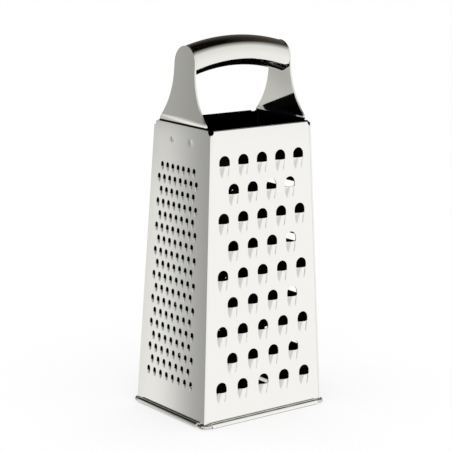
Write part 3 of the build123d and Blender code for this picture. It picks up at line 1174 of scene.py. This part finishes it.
@dataclass(frozen=True)
class Studio:
    """The world, the floor, the soft lamp, the black mat of painted shade under the body and the
    cards.
    """

    floor_reach: tuple[float, float] = (9000.0, 9000.0)
    floor_glow: float = 0.6
    lamp_place: Triple = (-700.0, -900.0, 1100.0)
    lamp_target: Triple = (0.0, 0.0, 100.0)
    lamp_size: float = 900.0
    lamp_watts: float = 2.0
    mat_reach: tuple[float, float] = (45.0, 34.0)
    mat_height: float = 0.05
    warm_below: float = 0.3
    shades: tuple[Shade, ...] = (
        # Overhead: a dark middle, a pale shade far round it, and a black heart.
        Shade(0.1, ((OVERHEAD, 0.775, 0.415),), True),
        Shade(0.85, ((OVERHEAD, 0.45, -0.15),), True),
        Shade(0.003, ((UP, 0.85, -3.7), (OVERHEAD, 0.79, 0.71)), True),
        # Above the horizon, between the rear and the right.
        Shade(0.1, ((UP, 0.17, 0.07), ((-0.087, 0.996, 0.0), 0.1, -0.1),
                    ((0.985, 0.174, 0.0), 0.03, -0.07))),
        # Below the horizon, on the right behind. It gives each coarse scoop its dark line.
        Shade(0.002, ((UP, -0.36, -0.25), ((-0.766, 0.643, 0.0), 0.0, 0.15),
                      ((-0.574, -0.819, 0.0), -0.52, -0.43)), True),
        # Steeply below, on the left behind.
        Shade(0.002, ((UP, -0.8, -0.68), ((0.0, 1.0, 0.0), 0.0, -0.15),
                      ((-1.0, 0.0, 0.0), 0.1, 0.0))),
        # High up behind.
        Shade(0.01, ((UP, 0.62, 0.48), ((0.342, -0.94, 0.0), -0.55, -0.42))),
        # Below the horizon, on the left, and a paler one in front on the left.
        Shade(0.02, ((UP, -0.36, -0.2), ((-0.978, -0.208, 0.0), 0.73, 0.67))),
        Shade(0.7, ((UP, -0.36, -0.2), ((-0.5, -0.866, 0.0), 0.82, 0.66))),
    )
    cards: tuple[Card, ...] = (
        # The left wall mirrors the first, and each handle plate one of the next two.
        Card("left wall card", 127.0, 520.0, (-700.0, -4.5), (-520.0, 135.0), "#999999", (
            ((1.0, 0.0, -0.03), -65.0, -20.0, "#FFFFFE"),
            ((1.0, 0.0, 8.0), 460.0, 812.0, "#EEEEED"),
            ((-1.0, 0.0, 0.1), 24.0, 60.0, "#989898"),
        )),
        Card("left plate card", 127.0, 520.0, (-700.0, -4.5), (135.0, 420.0), "#A3A3A2", (
            ((1.0, 0.0, 0.0), -49.0, -7.0, "#B4B4B3"),
            *DARK_TOP,
        )),
        Card("right plate card", 127.0, 520.0, (-4.5, 1260.0), (-980.0, 420.0), "#CECECC", (
            ((-1.0, 0.0, 1.0), 74.0, 108.0, "#B8B8B6"),
            ((0.0, 0.0, -1.0), 150.0, 200.0, "#CACAC8"),
            *DARK_TOP,
        )),
        # Two strips on the rear rim make the dark wedge that the right plate's inner face mirrors.
        Card("rear rim strip", 90.0, 29.5, (-2.0, 29.0), (186.1, 192.0), "#060606", slant=4.4),
        Card("rear rim edge strip", 90.0, 27.3, (-20.0, 30.0), (184.5, 187.0), "#060606"),
    )

    def build(self) -> None:
        """Set up the world, then everything that stands in it."""
        self._world()
        self._floor()
        self._lamp()
        self._mat()
        for card in self.cards:
            card.build()

    def _world(self) -> None:
        """White for the camera and for diffuse light, and for gloss the darkest of the shades.

        What is nearly black there is a little warm.
        """
        world = bpy.data.worlds.new("studio")
        bpy.context.scene.world = world
        tree = empty_tree(world)
        path = add_node(tree, "ShaderNodeLightPath")
        gloss = add_node(tree, "ShaderNodeMath", links={0: path.outputs["Is Glossy Ray"],
                                                        1: path.outputs["Is Transmission Ray"]},
                         operation="MAXIMUM")
        place = add_node(tree, "ShaderNodeTexCoord")
        polish = add_node(tree, "ShaderNodeMath", {0: 1.0, 1: 1.0}, operation="MINIMUM")
        for shade in self.shades:
            view = add_node(tree, "ShaderNodeMath", {0: 0.0, 1: 0.0}, operation="MAXIMUM")
            for direction, start, end in shade.slopes:
                facing = add_node(tree, "ShaderNodeVectorMath", {1: direction},
                                  {0: place.outputs["Generated"]}, operation="DOT_PRODUCT")
                part = add_node(tree, "ShaderNodeMapRange", {"From Min": start, "From Max": end},
                                {"Value": facing.outputs["Value"]},
                                interpolation_type="LINEAR" if shade.straight else "SMOOTHSTEP")
                view = add_node(tree, "ShaderNodeMath",
                                links={0: view.outputs[0], 1: part.outputs[0]},
                                operation="MAXIMUM")
            drop = add_node(tree, "ShaderNodeMapRange", {"To Min": shade.level, "To Max": 1.0},
                            {"Value": view.outputs[0]})
            polish = add_node(tree, "ShaderNodeMath",
                              links={0: polish.outputs[0], 1: drop.outputs[0]},
                              operation="MINIMUM")
        level = add_node(tree, "ShaderNodeMix", {"A": 1.0},
                         {"Factor": gloss.outputs[0], "B": polish.outputs[0]})
        strength = add_node(tree, "ShaderNodeMix", {"B": 1.0},
                            {"Factor": path.outputs["Is Camera Ray"], "A": level.outputs[0]})
        warm = add_node(tree, "ShaderNodeMapRange", {"From Max": self.warm_below},
                        {"Value": strength.outputs[0]})
        tint = add_node(tree, "ShaderNodeMix", {"A": linear("#FFF0DD"), "B": linear("#FFFFFF")},
                        {"Factor": warm.outputs[0]}, data_type="RGBA")
        light = add_node(tree, "ShaderNodeBackground",
                         links={"Color": tint.outputs["Result"], "Strength": strength.outputs[0]})
        add_node(tree, "ShaderNodeOutputWorld", links={"Surface": light.outputs[0]})

    @staticmethod
    def _level(name: str, reach: tuple[float, float], height: float,
               lines: int) -> bpy.types.Object:
        """A level sheet round the origin, at a height, with the same number of lines each way."""
        x, y = np.meshgrid(*(np.linspace(-half, half, lines) for half in reach))
        mesh = SheetMesh()
        mesh.add(np.stack([x, y, height + 0 * x], axis=-1))
        return mesh.build(name)

    def _floor(self) -> None:
        """A pale floor, wide enough to fill every view, with the object's shadow on it.

        For the camera, part of its light is its own, so that its white is even.
        """
        floor = self._level("floor", self.floor_reach, 0.0, 3)
        material = bpy.data.materials.new("pale floor")
        tree = empty_tree(material)
        path = add_node(tree, "ShaderNodeLightPath")
        matt = add_node(tree, "ShaderNodeBsdfDiffuse", {"Color": linear("#FEFEFE")})
        lit = add_node(tree, "ShaderNodeEmission", {"Color": linear("#FFFFFF"), "Strength": 1.0})
        part = add_node(tree, "ShaderNodeMath", {1: self.floor_glow},
                        {0: path.outputs["Is Camera Ray"]}, operation="MULTIPLY")
        both = add_node(tree, "ShaderNodeMixShader",
                        links={0: part.outputs[0], 1: matt.outputs[0], 2: lit.outputs[0]})
        add_node(tree, "ShaderNodeOutputMaterial", links={"Surface": both.outputs[0]})
        floor.data.materials.append(material)
        floor.visible_glossy = False

    def _mat(self) -> None:
        """A black mat under the body, inside its foot: painted shade, which keeps the inside as
        dark as the shade there.
        """
        mat = self._level("black mat", self.mat_reach, self.mat_height, 2)
        material = bpy.data.materials.new("painted shade under the body")
        tree = empty_tree(material)
        floor_shade_paint = add_node(tree, "ShaderNodeBsdfDiffuse", {"Color": linear("#0C0B0A")})
        add_node(tree, "ShaderNodeOutputMaterial", links={"Surface": floor_shade_paint.outputs[0]})
        mat.data.materials.append(material)

    def _lamp(self) -> None:
        """A soft square lamp aimed at the body's middle."""
        data = bpy.data.lights.new("key", "AREA")
        data.size = self.lamp_size * MM
        data.energy = self.lamp_watts
        lamp = bpy.data.objects.new("key", data)
        lamp.location = Vector(self.lamp_place) * MM
        aim = Vector(self.lamp_target) * MM - lamp.location
        lamp.rotation_euler = aim.to_track_quat("-Z", "Y").to_euler()
        lamp.visible_glossy = False
        bpy.context.scene.collection.objects.link(lamp)


def dress(piece: bpy.types.Object, slot: str, replaces: str,
          *materials: bpy.types.Material) -> None:
    """Give a piece its finish and its place in the frame.

    Args:
        piece: The new object.
        slot: The record's material slot. It is not used.
        replaces: The node that it stands for.
        materials: Its materials, in the order of the mesh's slots.
    """
    for material in materials:
        piece.data.materials.append(material)
    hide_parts(replaces)
    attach(piece, "root")
    log.info("%s: %d faces", piece.name, len(piece.data.polygons))


def main() -> None:
    """Build the grater piece by piece, then the studio round it."""
    logging.basicConfig(level=logging.INFO, format="%(message)s")
    bpy.context.scene.view_settings.view_transform = "Standard"

    # Bright annealed sheet gives the walls their soft, slightly blurred mirror.
    panel_steel = PolishedSteel("bright annealed stainless sheet", "#F4F3EF", roughness=0.13,
                                spread=0.02, grain_mm=0.6, bump_mm=0.0001).material()
    # Painted shade: inner faces, the folds' turned-in ends, some cut edges and the plates' joggle
    # bands are a near-black, dull steel that stands in for the shade inside the body and in the gap
    # over the rim, so that every hole reads black.
    painted_shade_steel = PolishedSteel("near-black painted shade", "#141312", roughness=0.25,
                                 spread=0.04, grain_mm=0.8, bump_mm=0.0004).material()
    # The handle is buffed to a mirror, with crisp bands along its bar.
    handle_steel = PolishedSteel("mirror polished stainless steel", "#EBEAE4", roughness=0.05,
                                 spread=0.015, grain_mm=3.0, bump_mm=0.0004).material()
    # Drawn wire is a little greyer than the sheet round it, with fine scratches.
    wire_steel = PolishedSteel("bright drawn wire", "#DAD8D2", roughness=0.16,
                               spread=0.03, grain_mm=0.5, bump_mm=0.001).material()
    # Spot welds are ground but not polished, so they read as dull grey discs.
    weld_steel = PolishedSteel("dressed weld metal", "#8C8880", roughness=0.35,
                               spread=0.08, grain_mm=0.4, bump_mm=0.004).material()
    # The corner seams are polished with the walls and show only as a faint line.
    seam_steel = PolishedSteel("polished seam weld", "#F0EFEB", roughness=0.2,
                               spread=0.05, grain_mm=0.5, bump_mm=0.001).material()

    body = BodySizes()
    sizes = HandleSizes()
    welds = {"dimple_drop": sizes.weld_drop, "dimple_spacing": sizes.weld_spacing}
    front, rear, left, right = (Wall(body, side) for side in Side)
    coarse_cutter = Scoop(width=8.2, opening=6.2, corner=4.1, length=9.4, lift=2.0, toe=0.5)
    fine_cutter = Scoop(width=3.0, opening=3.0, corner=1.5, length=2.7, lift=0.75, crease=0.08,
                        collar=0.2, toe=0.35, fade=0.4, columns=4, arch_steps=3, outline_steps=3,
                        ring_shares=(0.0, 0.3, 0.6, 0.85, 1.0, 1.08))
    slicing_cutter = Scoop(width=40.0, opening=5.5, corner=2.0, length=10.0, lift=2.2,
                           crest=Crest.LEVEL, ramp=3.0, columns=20, arch_steps=6,
                           top_share=0.62, turn_share=0.85)
    panels = {
        "coarse": PressedPanel(front, coarse_cutter, rows=9, long_row=5, lowest=21.7,
                               top_margin=21.9, pitch_share=0.18),
        # The fine wall's cut edges round its openings are near-black painted shade.
        "fine": PressedPanel(left, fine_cutter, rows=18, long_row=8, lowest=23.9, top_margin=27.8,
                             pitch_share=0.0915, offset=-2.2, cut_finish=Finish.PAINTED_SHADE, **welds),
        "rasp": PressedPanel(rear, Burr(), rows=12, long_row=8, lowest=25.0, top_margin=29.0,
                             pitch_share=0.1, notch_depth=0.9),
        "slicer": PressedPanel(right, slicing_cutter, rows=4, long_row=1, lowest=34.0,
                               top_margin=47.0, pitch_share=0.74, staggered=False,
                               notch_depth=0.9, **welds),
    }
    for word, panel in panels.items():
        dress(panel.build(f"{word}_wall"), "panel_steel", f"{word}_panel", panel_steel,
              painted_shade_steel)

    handle = Handle(body, sizes)
    dress(handle.grip("grip_bar"), "handle_steel", "handle_grip", handle_steel)
    for word, wall in (("left", left), ("right", right)):
        dress(handle.plate(f"{word}_side_plate", wall), "handle_steel", f"{word}_handle_plate",
              handle_steel, painted_shade_steel)
    dress(handle.nuggets("weld_buttons", (left, right)), "weld_steel", "handle_spot_welds",
          weld_steel)
    dress(BaseWire(body).build("foot_wire"), "wire_steel", "base_wire", wire_steel)
    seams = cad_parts["corner_seam_welds"]
    seams.data.materials.clear()
    seams.data.materials.append(seam_steel)
    log.info("%s: its own finish", seams.name)

    StudioCamera().build()
    Studio().build()


if __name__ == "__main__":
    main()
